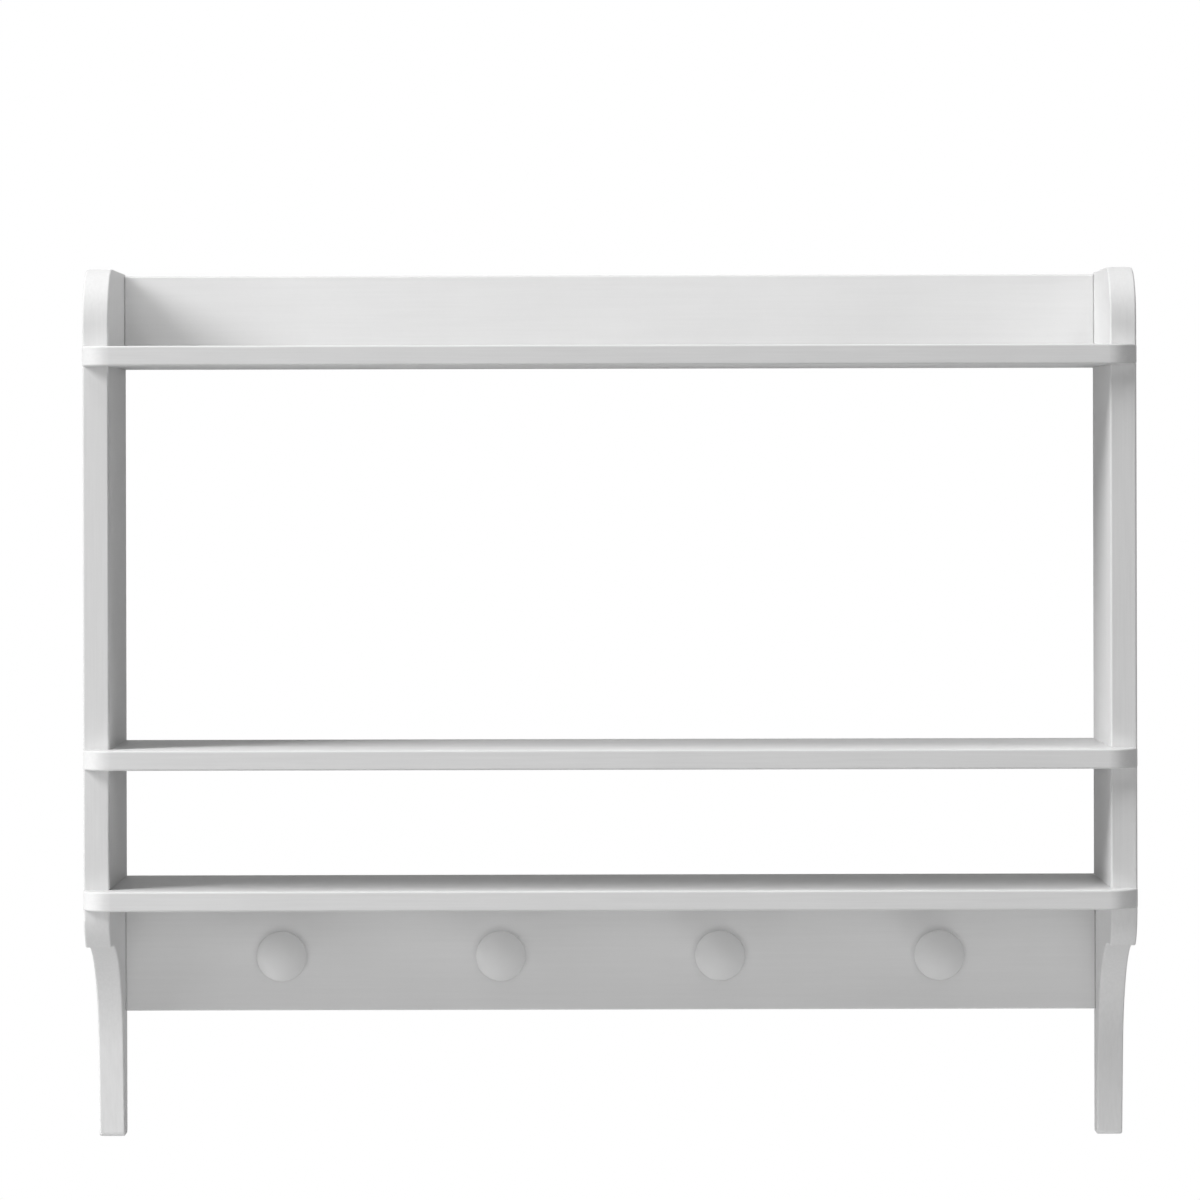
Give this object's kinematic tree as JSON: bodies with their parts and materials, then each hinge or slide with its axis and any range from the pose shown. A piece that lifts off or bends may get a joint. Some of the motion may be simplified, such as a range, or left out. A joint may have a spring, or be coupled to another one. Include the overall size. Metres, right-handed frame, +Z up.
{
  "type": "wall shelf",
  "caption": "Painted wooden wall shelf with shaped sides, three shelves, a back rail over the top shelf and a rail of turned hanging knobs.",
  "frame": {"origin": "midway between the centres of the two keyhole entries, on the wall plane", "axes": "+X to the viewer's right along the shelves, +Y into the wall, +Z up"},
  "size_m": [0.8, 0.182, 0.675],
  "materials": {
    "white_paint": "satin white paint over wood",
    "zinc_steel": "bright zinc plate",
    "brass": "turned",
    "beech": "bare, fluted"
  },
  "bodies": {
    "root": {"left_side": "white_paint", "right_side": "white_paint", "top_shelf": "white_paint", "middle_shelf": "white_paint", "bottom_shelf": "white_paint", "top_back_rail": "white_paint", "peg_rail": "white_paint", "knob_1": "white_paint", "knob_2": "white_paint", "knob_3": "white_paint", "knob_4": "white_paint", "knob_insert_1": "brass", "knob_insert_2": "brass", "knob_insert_3": "brass", "knob_insert_4": "brass", "knob_screw_1": "zinc_steel", "knob_screw_2": "zinc_steel", "knob_screw_3": "zinc_steel", "knob_screw_4": "zinc_steel", "left_keyhole_hanger": "zinc_steel", "right_keyhole_hanger": "zinc_steel", "left_hanger_screws": "zinc_steel", "right_hanger_screws": "zinc_steel", "top_shelf_dowels": "beech", "middle_shelf_dowels": "beech", "bottom_shelf_dowels": "beech", "top_rail_dowels": "beech", "peg_rail_dowels": "beech", "top_rail_edge_dowels": "beech", "peg_rail_edge_dowels": "beech"}
  },
  "joints": []
}
